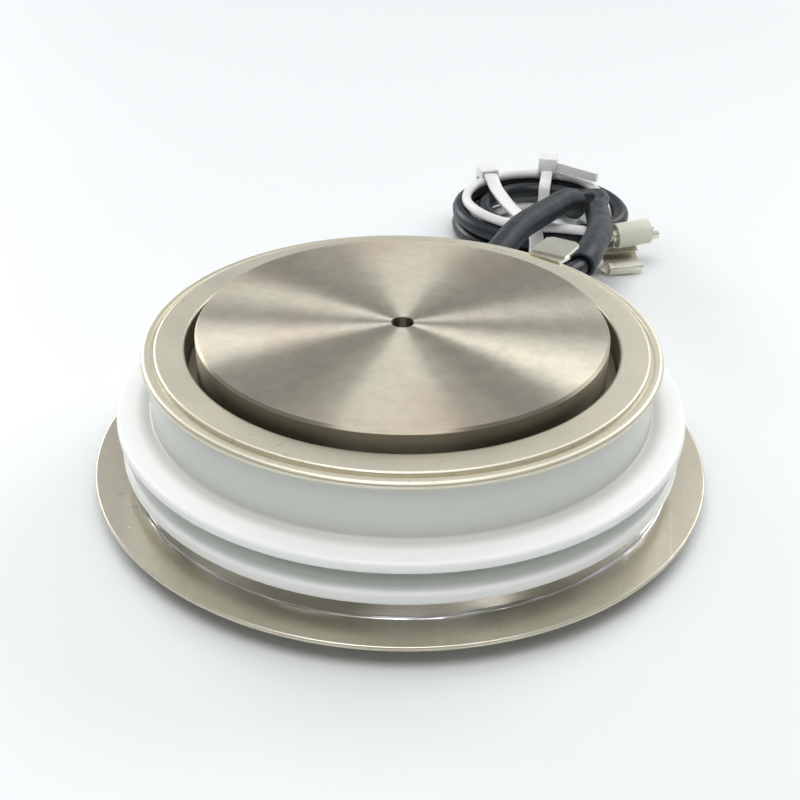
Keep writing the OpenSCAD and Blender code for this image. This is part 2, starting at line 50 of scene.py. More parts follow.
# The leads' routes in millimetres, as in the part's source
GATE_Z = 17.8
CATHODE_Z = 17.835
GATE_ROUTE = [
    (17, 40, GATE_Z), (19, 44.7, GATE_Z), (21, 49.4, GATE_Z), (22.8, 54, 17.6), (24.7, 58.6, 17.1),
    (26.7, 63, 16.4), (28.8, 67.4, 15.6), (31, 71.8, 14.8), (33.2, 76.2, 14), (35.4, 80.4, 13.4),
    (37.6, 84, 12.8), (39.4, 86.9, 11.5), (40.3, 89, 9.8), (40.4, 90.5, 8.2), (40.8, 92.2, 6.5),
    (41.5, 93.9, 5.1), (42.1, 95.6, 4.1), (42.2, 97.2, 3.6),
]
CATHODE_ROUTE = [
    (28, 31.8, CATHODE_Z), (31, 35.2, CATHODE_Z), (33.6, 38.6, CATHODE_Z), (35.3, 42.4, CATHODE_Z),
    (36.7, 46.7, 17.4), (38.1, 51.2, 16.8), (39.5, 55.8, 16), (40.8, 60.5, 14.9), (41.8, 65.2, 13.8),
    (42.6, 69.9, 12.8), (43.3, 74.4, 11.9), (43.8, 78.6, 11.2), (44.2, 82.4, 10.8), (45, 86, 10.2),
    (46.1, 89.2, 9.8), (46.9, 92.2, 9.75),
]

# The leads' ends cross from the coil to their terminals
GATE_END = [
    (34.2, 77.6, 8.95), (38.1, 77.1, 8.9), (41.5, 76.6, 8.6),
    (44.1, 76.2, 7.8), (46.6, 76.2, 7.6), (49, 76.7, 7.8),
]
CATHODE_END = [(35.5, 74.8, 2.85), (40, 73.3, 3.1), (42, 73.8, 3.3), (44, 74.1, 3.4)]

# The coil: its centre, and the turns of each lead as (angle, radius, height) of its axis
COIL_X = 33.5
COIL_Y = 94.5
COIL_STEP = 15
CATHODE_TURNS = [
    (-9.7, 13.6, 9.75), (50, 12.6, 6.2), (270, 12.6, 6.2), (350, 18.2, 6.2), (630, 18.2, 6.2),
    (695, 18.2, 2.75), (982, 18.2, 2.75),
]
GATE_TURNS = [
    (17.2, 9.1, 3.6), (85, 12.8, 2.05), (395, 12.9, 2.05), (445, 15.4, 3.4), (700, 15.4, 3.4),
    (727, 15.4, 6.2), (742, 15.75, 7.4), (757, 16.1, 8.25), (772, 16.8, 8.6), (890, 16.8, 8.6),
    (930, 16.8, 8.95), (978, 16.8, 8.95),
]

# The leads' radii in millimetres
GATE_LEAD_R = 1.05
CATHODE_LEAD_R = 1.7

# The shrunk sleeves, over these points of the routes
GATE_SLEEVE_POINTS = 14
CATHODE_SLEEVE_FIRST = 2
CATHODE_SLEEVE_LAST = 12
GATE_SLEEVE_R = 2.6
CATHODE_SLEEVE_R = 2.65
SLEEVE_CLEARANCE = 0.2
SLEEVE_ROLL = 0.25
SLEEVE_SIDES = 40
SLEEVE_STEPS = 8
BORE_STEP = 4
CREASE_SCALE = 420
CREASE_DEPTH = 0.02
LUMP_SCALE = 130
LUMP_DEPTH = 0.025
GATE_SLEEVE_SEED = 3.0
CATHODE_SLEEVE_SEED = 9.0

# The ties, in millimetres and degrees, where the part's source has them
WIDE_TIE_ANGLE = 103
WIDE_TIE_OFFSET = -7.8
WIDE_TIE_W = 3.0
NARROW_TIE_ANGLE = 78
NARROW_TIE_W = 2.6
TIE_BASE = 1.03
STRAP_T = 0.98
STRAP_EDGE = 0.15
TIE_PLAY = 0.05
COIL_R = 20.0
COIL_W = 9.6

# The straps' way over the strands, as (distance from the coil's middle, height)
SHOULDER_Z = 7.6
WIDE_TIE_OVER = [(17.0, 9.75), (12.8, 9.75), (9.2, 8.1), (0, 7.6), (-9.6, 8.2), (-12.8, 10.1), (-16.9, 10.1)]
NARROW_TIE_OVER = [(18.6, 9.75), (15.2, 9.75), (13.2, 8.1)]
NARROW_TIE_INSIDE_Z = 7.95
WIDE_TIE_BEND = 2.2
NARROW_TIE_BEND = 1.4
BEND_SHARE = 0.45

# The ties' heads, each with a slot, the wide one's stub and the narrow one's cut end
HEAD_INSET = 1
HEAD_LENGTH = 4.6
HEAD_W = 4.2
WIDE_HEAD_Z = (9.0, 11.4)
WIDE_SLOT_HALF = 1.6
WIDE_SLOT_Z = (9.55, 10.85)
WIDE_HEAD_BEVEL = 0.3
STUB_X = (-3, 0.5)
STUB_HALF = 1.45
STUB_Z = (9.8, 10.7)
STUB_BEVEL = 0.12
NARROW_HEAD_Z = (9.6, 13.2)
NARROW_SLOT_X = (0.8, 2.9)
NARROW_SLOT_Z = (10.0, 12.4)
NARROW_HEAD_BEVEL = 0.35
TAIL_AT = (1.5, 1, 10.2)
TAIL_ANGLE = -30
TAIL_LENGTH = 12
TAIL_T = 0.9
TAIL_W = 2.0
TOOTH_PITCH = 0.9
TOOTH_DEPTH = 0.28
TOOTH_CREST = 0.3
TOOTH_ROOT = 0.9

# Radii from the housing's axis where one surface ends and the next one starts, in millimetres
POLE_R = 31.5
HOLE_R = 1.76
GROOVE_R = 33.12
RECESS_R = 39.8
COLLAR_R = 42.6

# Colours of the contact faces
FACE_DARK = (0.57, 0.535, 0.43, 1)
FACE_LIGHT = (0.70, 0.66, 0.535, 1)
FACE_WORN = (0.60, 0.55, 0.45, 1)
FACE_MOTTLE = (0.50, 0.475, 0.395, 1)
FACE_STAIN = (0.54, 0.40, 0.32, 1)
# Painted shade for the contact pieces' side wall, centre hole and chamfer
FACE_PAINTED_SHADE = (0.245, 0.22, 0.165, 1)

# Colours of the plated sheet: the rim, the flange and its polished collar, whose two colours are painted dark
# and bright reflections
RIM_LIGHT = (0.77, 0.73, 0.595, 1)
RIM_DARK = (0.70, 0.66, 0.535, 1)
FLANGE_LIGHT = (0.70, 0.66, 0.545, 1)
FLANGE_DARK = (0.565, 0.52, 0.415, 1)
SHEET_SCRATCH = (0.86, 0.84, 0.80, 1)
SHEET_SPECK = (0.40, 0.37, 0.30, 1)
# Painted shade in the groove round the contact piece
SHEET_GROOVE_SHADE = (0.27, 0.245, 0.185, 1)
# Painted reflections: dark and bright patches on the polished collar
COLLAR_REFLECTION_DARK = (0.56, 0.555, 0.53, 1)
COLLAR_REFLECTION_LIGHT = (0.92, 0.92, 0.94, 1)

# Colours of the ceramic
CERAMIC_DARK = (0.885, 0.90, 0.875, 1)
CERAMIC_LIGHT = (0.93, 0.94, 0.925, 1)
# Painted shade on the ceramic wall inside the ribs
CERAMIC_RECESS_SHADE = (0.66, 0.675, 0.63, 1)
CERAMIC_SCUFF = (0.62, 0.62, 0.60, 1)

# The mottled materials: two close colours, roughness, grain and what else differs
PLAIN_LOOKS = {
    "silicon": dict(
        dark=(0.09, 0.10, 0.13, 1), light=(0.14, 0.15, 0.19, 1), rough=0.12, grain=60.0, metallic=0.6,
    ),
    "molybdenum": dict(
        dark=(0.40, 0.40, 0.41, 1), light=(0.50, 0.50, 0.51, 1), rough=0.4, grain=300.0, metallic=1.0,
    ),
    "silicone": dict(
        dark=(0.30, 0.07, 0.04, 1), light=(0.36, 0.09, 0.05, 1), rough=0.6, grain=200.0,
    ),
    "gold_plate": dict(
        dark=(0.75, 0.52, 0.18, 1), light=(0.85, 0.62, 0.25, 1), rough=0.25, grain=200.0, metallic=1.0,
    ),
    "fluoroplastic": dict(
        dark=(0.80, 0.80, 0.77, 1), light=(0.88, 0.88, 0.85, 1), rough=0.5, grain=200.0,
    ),
    "spring_steel": dict(
        dark=(0.42, 0.41, 0.39, 1), light=(0.56, 0.55, 0.53, 1), rough=0.3, grain=300.0, metallic=1.0,
    ),
    "silver": dict(
        dark=(0.80, 0.79, 0.77, 1), light=(0.90, 0.89, 0.87, 1), rough=0.2, grain=300.0, metallic=1.0,
    ),
    "tinned_brass": dict(
        dark=(0.72, 0.70, 0.60, 1), light=(0.82, 0.80, 0.70, 1), rough=0.3, grain=260.0,
        bump=0.05, depth=0.00002, metallic=1.0,
    ),
    "clear_sleeve": dict(
        dark=(0.91, 0.90, 0.74, 1), light=(0.95, 0.945, 0.84, 1), rough=0.3, grain=160.0,
        transmission_weight=0.4, ior=1.45,
    ),
    "black_sleeve": dict(
        dark=(0.006, 0.010, 0.014, 1), light=(0.016, 0.022, 0.027, 1), rough=0.5, grain=260.0,
        bump=0.35, depth=0.0001, specular_ior_level=0.36,
    ),
    "black_insulation": dict(
        dark=(0.005, 0.008, 0.012, 1), light=(0.012, 0.017, 0.022, 1), rough=0.38, grain=200.0,
        specular_ior_level=0.4,
    ),
    "white_insulation": dict(
        dark=(0.72, 0.73, 0.72, 1), light=(0.82, 0.82, 0.80, 1), rough=0.38, grain=200.0,
    ),
    "nylon": dict(
        dark=(0.80, 0.80, 0.77, 1), light=(0.88, 0.88, 0.86, 1), rough=0.34, grain=220.0,
        bump=0.1, depth=0.00004,
    ),
}

# Which mottled material each CAD node shows
PLAIN_NODES = {
    "silicon_wafer": "silicon",
    "cathode_molybdenum_disc": "molybdenum",
    "anode_molybdenum_disc": "molybdenum",
    "wafer_centring_ring": "silicone",
    "gate_contact": "gold_plate",
    "gate_contact_cup": "fluoroplastic",
    "gate_disc_springs": "spring_steel",
    "gate_tube": "spring_steel",
    "gate_wire": "silver",
    "cathode_tab": "tinned_brass",
    "gate_terminal": "tinned_brass",
    "cathode_terminal": "tinned_brass",
    "gate_terminal_sleeve": "clear_sleeve",
}

# The table top in metres, which glows a little far from the object, and its radii in millimetres
FLOOR_HALF = 3.0
FLOOR_DROP = 0.00002
FLOOR_DARK = (0.815, 0.84, 0.845, 1)
FLOOR_LIGHT = (0.84, 0.86, 0.865, 1)
FLOOR_NEAR = 350
FLOOR_FAR = 1100
FLOOR_GLOW = 0.58

# The surroundings
WORLD_FRONT = (0.20, 0.205, 0.21, 1)
WORLD_BACK = (0.50, 0.51, 0.52, 1)
WORLD_HORIZON = (0.80, 0.815, 0.82, 1)
HORIZON_BAND = (0.04, 0.15)

# The lamps, which all point at the housing's foot: name, place and size in metres, power in watts
LAMPS = [
    ("overhead_front", (-0.03, -0.22, 0.72), (0.55, 0.40), 3.2),
    ("overhead_back", (-0.03, 0.24, 0.75), (0.62, 0.28), 0.65),
    ("behind_right", (0.62, 0.60, 0.54), (0.60, 0.40), 2.95),
    ("behind_left", (-0.62, 0.76, 0.36), (0.50, 0.32), 3.25),
]

# The plated sheet's scratches are stretched cells, and the collar is polished
SCRATCH_STRETCH = 0.06
COLLAR_ROUGHNESS = 0.13

# The mottled materials' fine grain, and their roughness from smooth to rough places
GRAIN_FINER = 4
SMOOTH_SHARE = 0.85
ROUGH_SHARE = 1.2

# A mix node's two inputs and its output, for each kind of value
MIX_SOCKETS = {"FLOAT": (2, 3, 0), "VECTOR": (4, 5, 1), "RGBA": (6, 7, 2)}


def ease(t):
    """Goes from 0 to 1 with no slope at either end."""
    return t * t * (3 - 2 * t)


def polar(angle, radius, height):
    """A point round the coil's axis, in millimetres."""
    a = math.radians(angle)
    return (COIL_X + radius * math.cos(a), COIL_Y + radius * math.sin(a), height)


def wound(stations):
    """Points along a lead's turns, eased from one station to the next."""
    points = []
    for (a0, r0, z0), (a1, r1, z1) in zip(stations, stations[1:]):
        steps = max(1, round((a1 - a0) / COIL_STEP))
        for i in range(1, steps + 1):
            t = i / steps
            e = ease(t)
            points.append(polar(a0 + (a1 - a0) * t, r0 + (r1 - r0) * e, z0 + (z1 - z0) * e))
    return points


def metres(points):
    """Points in millimetres as vectors in metres."""
    return [Vector(p) * MM for p in points]


def link(name, data):
    """Puts a new object in the scene."""
    made = bpy.data.objects.new(name, data)
    bpy.context.scene.collection.objects.link(made)
    return made


def make_camera():
    """The photograph's camera."""
    data = bpy.data.cameras.new("camera")
    data.lens = CAMERA_LENS
    data.sensor_width = SENSOR_W
    camera = link("camera", data)
    at = Vector(CAMERA_AT) * MM
    way = Vector(CAMERA_AIM) * MM - at
    turn = way.to_track_quat("-Z", "Y").to_matrix() @ Matrix.Rotation(math.radians(CAMERA_ROLL), 3, "Z")
    camera.matrix_world = Matrix.Translation(at) @ turn.to_4x4()
    bpy.context.scene.camera = camera


def new_material(name, **values):
    """A Principled material, with its shader's sockets set by name."""
    made = bpy.data.materials.new(name)
    made.use_nodes = True
    shader = made.node_tree.nodes["Principled BSDF"]
    for socket, value in values.items():
        shader.inputs[socket.replace("_", " ").title().replace("Ior", "IOR")].default_value = value
    return made, made.node_tree, shader


def add(tree, kind, sockets=(), **settings):
    """A shader node with its settings, and its sockets as (name or index, value or other socket)."""
    node = tree.nodes.new("ShaderNode" + kind)
    for name, value in settings.items():
        setattr(node, name, value)
    for socket, value in sockets:
        if isinstance(value, bpy.types.NodeSocket):
            tree.links.new(value, node.inputs[socket])
        else:
            node.inputs[socket].default_value = value
    return node


def object_place(tree):
    """The place on the object, in metres."""
    return add(tree, "TexCoord").outputs["Object"]


def axis_distance(tree):
    """Distance from the housing's axis, in metres."""
    flat = add(tree, "VectorMath", [(0, object_place(tree)), (1, (1, 1, 0))], operation="MULTIPLY")
    return add(tree, "VectorMath", [(0, flat.outputs[0])], operation="LENGTH").outputs["Value"]


def noise_value(tree, place, scale, detail=3.0, roughness=0.5):
    """Noise in space."""
    sockets = [("Vector", place), ("Scale", scale), ("Detail", detail), ("Roughness", roughness)]
    return add(tree, "TexNoise", sockets).outputs["Fac"]


def ring_noise(tree, radius, scale, detail):
    """Noise that changes only with the distance from the axis, as a lathe leaves it."""
    sockets = [("W", radius), ("Scale", scale), ("Detail", detail)]
    return add(tree, "TexNoise", sockets, noise_dimensions="1D").outputs["Fac"]


def spread(tree, value, source, target=(0.0, 1.0)):
    """Maps a value from one range to another, and clamps it."""
    sockets = [
        ("Value", value), ("From Min", source[0]), ("From Max", source[1]),
        ("To Min", target[0]), ("To Max", target[1]),
    ]
    return add(tree, "MapRange", sockets).outputs["Result"]


def beyond(tree, inner, outer, target=(0.0, 1.0)):
    """Goes from one value to another between two radii round the housing's axis, in millimetres."""
    return spread(tree, axis_distance(tree), (inner * MM, outer * MM), target)


def mixed(tree, factor, first, second, kind="RGBA"):
    """Mixes two colours, or two numbers or directions where the kind says so."""
    one, two, out = MIX_SOCKETS[kind]
    return add(tree, "Mix", [(0, factor), (one, first), (two, second)], data_type=kind).outputs[out]


def combined(tree, operation, first, second):
    """Two numbers combined by a math node."""
    return add(tree, "Math", [(0, first), (1, second)], operation=operation).outputs["Value"]


def feed(tree, shader, socket, value):
    """Links a value to one of the shader's sockets."""
    tree.links.new(value, shader.inputs[socket])


def bumped(tree, shader, height, strength, distance):
    """Fine relief on the shader."""
    made = add(tree, "Bump", [("Height", height), ("Strength", strength), ("Distance", distance)])
    feed(tree, shader, "Normal", made.outputs["Normal"])


def turned(tree, shader):
    """Runs the shader's brushed direction round the housing's axis."""
    made = add(tree, "Tangent", direction_type="RADIAL", axis="Z")
    feed(tree, shader, "Tangent", made.outputs["Tangent"])


def scratches(tree, scale, turn, width):
    """Thin straight scratches, 1 on a scratch and 0 off it, from stretched cells."""
    stretched = (scale, scale * SCRATCH_STRETCH, scale)
    mapping = [("Vector", object_place(tree)), ("Rotation", (0, 0, turn)), ("Scale", stretched)]
    place = add(tree, "Mapping", mapping).outputs[0]
    cells = add(tree, "TexVoronoi", [("Vector", place), ("Scale", 1.0)], feature="DISTANCE_TO_EDGE")
    return spread(tree, cells.outputs["Distance"], (0.0, width), (1.0, 0.0))


def turned_nickel():
    """Plated copper with the concentric marks of a lathe, a cloudy mottle and faint stains, and painted shade
    on its side wall, centre hole and chamfer.
    """
    made, tree, shader = new_material(
        "turned_nickel", metallic=1.0, anisotropic=1.0, anisotropic_rotation=0.25
    )
    radius = axis_distance(tree)
    place = object_place(tree)
    rings = ring_noise(tree, radius, scale=2600.0, detail=5.0)
    wide_rings = ring_noise(tree, radius, scale=260.0, detail=2.0)
    mottle = noise_value(tree, place, scale=380.0, detail=5.0, roughness=0.7)
    stain = noise_value(tree, place, scale=55.0, detail=4.0, roughness=0.6)
    base = mixed(tree, rings, FACE_DARK, FACE_LIGHT)
    base = mixed(tree, spread(tree, wide_rings, (0.3, 0.7), (0.0, 0.3)), base, FACE_WORN)
    base = mixed(tree, spread(tree, mottle, (0.42, 0.62), (0.0, 0.55)), base, FACE_MOTTLE)
    base = mixed(tree, spread(tree, stain, (0.46, 0.70), (0.0, 0.55)), base, FACE_STAIN)
    # Painted shade: the side wall and the centre hole are darkened as in shade, and the chamfer partly, which
    # also dims its highlight
    chamfer = beyond(tree, POLE_R - 0.5, POLE_R - 0.36, (0.0, 0.62))
    side = beyond(tree, POLE_R - 0.06, POLE_R - 0.01)
    hole = beyond(tree, HOLE_R, HOLE_R + 0.05, (1.0, 0.0))
    outside = combined(tree, "MAXIMUM", chamfer, side)
    painted_shade_mask = combined(tree, "MAXIMUM", outside, hole)
    feed(tree, shader, "Base Color", mixed(tree, painted_shade_mask, base, FACE_PAINTED_SHADE))
    feed(tree, shader, "Roughness", spread(tree, rings, (0.2, 0.8), (0.30, 0.42)))
    turned(tree, shader)
    bumped(tree, shader, rings, strength=0.25, distance=0.00003)
    return made


def sheet_nickel(name, light, dark, roughness):
    """Satin plated sheet, with cloudy wear, fine scratches, specks, small dents and painted shade in the
    groove round the contact piece.
    """
    made, tree, shader = new_material(name, metallic=1.0, anisotropic=0.35)
    place = object_place(tree)
    cloud = noise_value(tree, place, scale=70.0, detail=5.0, roughness=0.6)
    fine = noise_value(tree, place, scale=1800.0, detail=3.0, roughness=0.6)
    worn = noise_value(tree, place, scale=40.0, detail=2.0)
    specks = noise_value(tree, place, scale=650.0, detail=2.0, roughness=0.6)
    dents = noise_value(tree, place, scale=160.0, detail=2.0)
    scratched = scratches(tree, scale=260.0, turn=0.7, width=0.012)
    marks = combined(tree, "MULTIPLY", scratched, spread(tree, worn, (0.5, 0.65), (0.0, 0.22)))
    # Painted shade: the sheet inside the groove's outer radius is darkened as in shade
    groove_shade = beyond(tree, GROOVE_R - 0.1, GROOVE_R, (1.0, 0.0))
    base = mixed(tree, spread(tree, cloud, (0.35, 0.7)), light, dark)
    base = mixed(tree, marks, base, SHEET_SCRATCH)
    base = mixed(tree, spread(tree, specks, (0.66, 0.74), (0.0, 0.4)), base, SHEET_SPECK)
    base = mixed(tree, groove_shade, base, SHEET_GROOVE_SHADE)
    feed(tree, shader, "Base Color", base)
    feed(tree, shader, "Roughness", spread(tree, cloud, (0.3, 0.7), roughness))
    turned(tree, shader)
    bumped(tree, shader, mixed(tree, 0.2, dents, fine), strength=0.35, distance=0.00012)
    return made


def flange_nickel():
    """The flange's satin sheet, with a polished and slightly wavy collar inside it, whose colour has painted
    patches of dark and bright reflection.
    """
    made = sheet_nickel("flange_nickel", FLANGE_LIGHT, FLANGE_DARK, roughness=(0.26, 0.40))
    tree = made.node_tree
    shader = tree.nodes["Principled BSDF"]
    satin = {name: shader.inputs[name].links[0].from_socket for name in ("Roughness", "Base Color", "Normal")}
    place = object_place(tree)
    outside = beyond(tree, COLLAR_R, COLLAR_R + 0.4)
    # Painted reflections: patches of dark and bright colour on the polished collar stand in for what it
    # mirrors
    reflection_patches = spread(tree, noise_value(tree, place, scale=42.0, detail=2.0), (0.42, 0.58))
    polished = mixed(tree, reflection_patches, COLLAR_REFLECTION_DARK, COLLAR_REFLECTION_LIGHT)
    waves = noise_value(tree, place, scale=85.0, detail=1.0, roughness=0.4)
    wavy = add(tree, "Bump", [("Height", waves), ("Strength", 1.0), ("Distance", 0.0024)]).outputs["Normal"]
    feed(tree, shader, "Roughness", mixed(tree, outside, COLLAR_ROUGHNESS, satin["Roughness"], kind="FLOAT"))
    feed(tree, shader, "Base Color", mixed(tree, outside, polished, satin["Base Color"]))
    feed(tree, shader, "Normal", mixed(tree, outside, wavy, satin["Normal"], kind="VECTOR"))
    return made


def alumina():
    """Fired white ceramic with a faint gloss, a few grey scuffs and painted shade darkening the wall inside
    the ribs.
    """
    made, tree, shader = new_material("alumina", roughness=0.32, specular_ior_level=0.5)
    place = object_place(tree)
    cloud = noise_value(tree, place, scale=90.0)
    scuffs = noise_value(tree, place, scale=480.0, detail=4.0, roughness=0.7)
    grain = noise_value(tree, place, scale=2500.0, detail=2.0)
    # Painted shade: the wall inside the ribs is darkened as in shade
    recess_shade = beyond(tree, RECESS_R, RECESS_R + 1.5, (1.0, 0.0))
    base = mixed(tree, cloud, CERAMIC_DARK, CERAMIC_LIGHT)
    base = mixed(tree, recess_shade, base, CERAMIC_RECESS_SHADE)
    base = mixed(tree, spread(tree, scuffs, (0.66, 0.8), (0.0, 0.25)), base, CERAMIC_SCUFF)
    feed(tree, shader, "Base Color", base)
    bumped(tree, shader, grain, strength=0.06, distance=0.00005)
    return made


def plain(name, dark, light, rough, grain, bump=0.15, depth=0.00005, **values):
    """A material of two close colours, mottled by noise, with a fine grain in its relief."""
    made, tree, shader = new_material(name, roughness=rough, **values)
    place = object_place(tree)
    cloud = noise_value(tree, place, grain, detail=4.0, roughness=0.55)
    fine = noise_value(tree, place, grain * GRAIN_FINER, roughness=0.6)
    roughness = (rough * SMOOTH_SHARE, min(1.0, rough * ROUGH_SHARE))
    feed(tree, shader, "Base Color", mixed(tree, cloud, dark, light))
    feed(tree, shader, "Roughness", spread(tree, cloud, (0.3, 0.7), roughness))
    bumped(tree, shader, fine, bump, depth)
    return made


def dress(node, made):
    """Gives a CAD node's mesh one material."""
    mesh = PARTS[node].data
    mesh.materials.clear()
    mesh.materials.append(made)


def make_lead(name, points, radius):
    """A lead as one smooth curve through its points, in metres, with its radius in millimetres."""
    curve = bpy.data.curves.new(name, "CURVE")
    curve.dimensions = "3D"
    curve.bevel_depth = radius * MM
    curve.bevel_resolution = 5
    curve.resolution_u = 4
    curve.use_fill_caps = True
    spline = curve.splines.new("BEZIER")
    spline.bezier_points.add(len(points) - 1)
    for knot, p in zip(spline.bezier_points, points):
        knot.co = p
        knot.handle_left_type = "AUTO"
        knot.handle_right_type = "AUTO"
    return link(name, curve)


def mesh_object(name, verts, faces, smooth=True):
    """An object from points and faces."""
    mesh = bpy.data.meshes.new(name)
    mesh.from_pydata([tuple(v) for v in verts], [], faces)
    mesh.update()
    if smooth:
        mesh.polygons.foreach_set("use_smooth", [True] * len(mesh.polygons))
    return link(name, mesh)


def loop_faces(rings, sides):
    """Outward faces of a closed loop of rings, each with as many points as sides."""
    faces = []
    for n in range(rings):
        m = (n + 1) % rings
        for k in range(sides):
            k2 = (k + 1) % sides
            faces.append((n * sides + k, m * sides + k, m * sides + k2, n * sides + k2))
    return faces


def smooth_path(points, per_span):
    """Points on a Catmull-Rom curve through the given points."""
    path = []
    last = len(points) - 1
    for i in range(last):
        p0, p1, p2, p3 = points[max(i - 1, 0)], points[i], points[i + 1], points[min(i + 2, last)]
        for k in range(per_span):
            t = k / per_span
            path.append(
                0.5 * (2 * p1 + (p2 - p0) * t + (2 * p0 - 5 * p1 + 4 * p2 - p3) * t ** 2
                       + (3 * p1 - p0 - 3 * p2 + p3) * t ** 3)
            )
    path.append(points[last])
    return path


def heading(path, i):
    """The direction of a path at one of its points."""
    return (path[min(i + 1, len(path) - 1)] - path[max(i - 1, 0)]).normalized()


def frames_along(path):
    """The direction and a side and an up direction at each point, carried along without twist."""
    frames = []
    side = heading(path, 0).cross(Vector((0, 0, 1))).normalized()
    for i in range(len(path)):
        ahead = heading(path, i)
        side = (side - ahead * side.dot(ahead)).normalized()
        frames.append((ahead, side, side.cross(ahead)))
    return frames


def sleeve_stations(last, radius, bore):
    """A sleeve's rings, over its outside and back through its bore, as (point of the path, shift, radius)."""
    roll = SLEEVE_ROLL * MM
    front = [(0, 0.0, bore), (0, 0.0, radius - roll), (0, roll, radius)]
    outside = [(i, 0.0, radius) for i in range(1, last)]
    back = [(last, -roll, radius), (last, 0.0, radius - roll), (last, 0.0, bore)]
    inside = [(i, 0.0, bore) for i in range(last - BORE_STEP, 0, -BORE_STEP)]
    return front + outside + back + inside


def make_sleeve(name, route, radius, bore, seed):
    """A shrunk sleeve: an open tube with soft uneven creases and rolled ends, over a route in millimetres."""
    path = smooth_path(metres(route), SLEEVE_STEPS)
    frames = frames_along(path)
    stations = sleeve_stations(len(path) - 1, radius * MM, bore * MM)
    verts = []
    for i, shift, r in stations:
        ahead, side, up = frames[i]
        p = path[i] + ahead * shift
        for k in range(SLEEVE_SIDES):
            a = 2 * math.pi * k / SLEEVE_SIDES
            out = side * math.cos(a) + up * math.sin(a)
            crease = noise.noise((p + out * r) * CREASE_SCALE + Vector((seed, 0, 0)))
            lump = noise.noise(p * LUMP_SCALE + Vector((0, seed, 0)))
            uneven = CREASE_DEPTH * crease + LUMP_DEPTH * lump
            grow = 1 + (uneven if r > bore * MM else 0)
            verts.append(p + out * r * grow)
    return mesh_object(name, verts, loop_faces(len(stations), SLEEVE_SIDES))


def loop_band(name, outline, width, thickness, place):
    """A closed strap: an outline in its own X-Z plane, given a thickness outwards and a width."""
    half = width / 2
    edge = min(STRAP_EDGE * MM, thickness / 3)
    section = [
        (-half + edge, 0.0), (half - edge, 0.0), (half, edge), (half, thickness - edge),
        (half - edge, thickness), (-half + edge, thickness), (-half, thickness - edge), (-half, edge),
    ]
    verts = []
    for i, p in enumerate(outline):
        along = (outline[(i + 1) % len(outline)] - outline[i - 1]).normalized()
        out = Vector((along.y, -along.x))
        for across, lift in section:
            q = p + out * lift
            verts.append(place @ Vector((q.x, across, q.y)))
    return mesh_object(name, verts, loop_faces(len(outline), len(section)))


def rounded_outline(corners, radius, steps=6):
    """A closed outline through corners, counter-clockwise, with each corner rounded, in metres."""
    points = []
    for i, corner in enumerate(corners):
        here = Vector(corner) * MM
        before = Vector(corners[i - 1]) * MM - here
        after = Vector(corners[(i + 1) % len(corners)]) * MM - here
        cut = min(radius * MM, before.length * BEND_SHARE, after.length * BEND_SHARE)
        start = here + before.normalized() * cut
        end = here + after.normalized() * cut
        for k in range(steps + 1):
            t = k / steps
            points.append(start * (1 - t) ** 2 + here * 2 * t * (1 - t) + end * t ** 2)
    return points


def apply_modifiers(made):
    """Turns an object's modifiers into mesh, and shades it smooth."""
    graph = bpy.context.evaluated_depsgraph_get()
    mesh = bpy.data.meshes.new_from_object(made.evaluated_get(graph))
    made.modifiers.clear()
    made.data = mesh
    mesh.polygons.foreach_set("use_smooth", [True] * len(mesh.polygons))


def soften(made, width, segments=3):
    """Rounds an object's edges, applied to its mesh."""
    modifier = made.modifiers.new("soft edges", "BEVEL")
    modifier.width = width
    modifier.segments = segments
    modifier.limit_method = "ANGLE"
    modifier.harden_normals = True
    apply_modifiers(made)


def bevelled_box(name, low, high, place, bevel):
    """A box with rounded edges, its corners in millimetres."""
    spans = list(zip(low, high))
    verts = [place @ (Vector((x, y, z)) * MM) for x in spans[0] for y in spans[1] for z in spans[2]]
    faces = [(0, 1, 3, 2), (4, 6, 7, 5), (0, 4, 5, 1), (2, 3, 7, 6), (0, 2, 6, 4), (1, 5, 7, 3)]
    made = mesh_object(name, verts, faces, smooth=False)
    soften(made, bevel * MM)
    return made


def slotted_box(name, box, slot, axis, place, bevel):
    """A box with rounded edges and a slot through it along X or Y; both as (low, high) in millimetres."""
    u, v = [i for i in range(3) if i != axis]
    verts = []
    for end in (box[0][axis], box[1][axis]):
        for low, high in (box, slot):
            for a, b in ((low[u], low[v]), (high[u], low[v]), (high[u], high[v]), (low[u], high[v])):
                corner = [0.0, 0.0, 0.0]
                corner[axis] = end
                corner[u] = a
                corner[v] = b
                verts.append(place @ (Vector(corner) * MM))
    faces = []
    for k in range(4):
        k2 = (k + 1) % 4
        faces += [(k, k2, 8 + k2, 8 + k), (4 + k, 12 + k, 12 + k2, 4 + k2)]
        faces += [(k, 4 + k, 4 + k2, k2), (8 + k, 8 + k2, 12 + k2, 12 + k)]
    if axis == 1:
        faces = [tuple(reversed(face)) for face in faces]
    made = mesh_object(name, verts, faces, smooth=False)
    soften(made, bevel * MM)
    return made


def toothed_strip(name, length, thickness, height, place):
    """The cut end of a strap, with ratchet teeth across one side, its sizes in millimetres."""
    outline = [(0, 0), (0, -length), (thickness, -length)]
    for i in range(int(length / TOOTH_PITCH)):
        y = -length + i * TOOTH_PITCH
        outline.append((thickness, y + TOOTH_CREST * TOOTH_PITCH))
        outline.append((thickness - TOOTH_DEPTH, y + TOOTH_ROOT * TOOTH_PITCH))
    outline.append((thickness, 0))
    n = len(outline)
    verts = [place @ (Vector((x, y, z)) * MM) for z in (0, height) for x, y in outline]
    faces = [tuple(reversed(range(n))), tuple(range(n, 2 * n))]
    for k in range(n):
        k2 = (k + 1) % n
        faces.append((k, k2, n + k2, n + k))
    return mesh_object(name, verts, faces, smooth=False)


